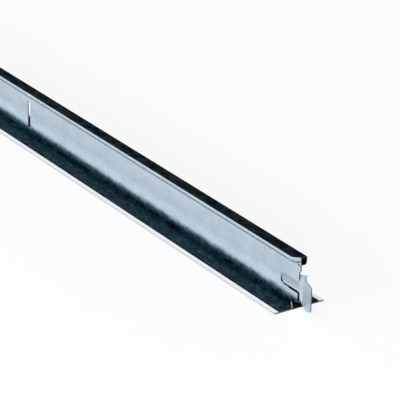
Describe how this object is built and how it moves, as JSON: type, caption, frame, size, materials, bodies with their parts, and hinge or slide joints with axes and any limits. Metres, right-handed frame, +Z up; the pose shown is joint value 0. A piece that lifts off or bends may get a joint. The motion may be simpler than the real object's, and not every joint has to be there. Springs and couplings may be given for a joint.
{
  "type": "ceiling main tee",
  "caption": "Long inverted T profile of folded steel with a hollow top bulb, slotted web, hook coupler at each end and a hemmed face cap.",
  "frame": {"origin": "middle of the white face, half way along the tee", "axes": "+X along the tee, +Z up through the web to the bulb, +Y across the face"},
  "size_m": [3.7698, 0.035, 0.032],
  "materials": {
    "galvanised_steel": "satin zinc coating with fine rolling lines",
    "white_paint": "matt white coil coating"
  },
  "bodies": {
    "root": {"steel_body": "galvanised_steel", "face_cap": "white_paint"}
  },
  "joints": []
}
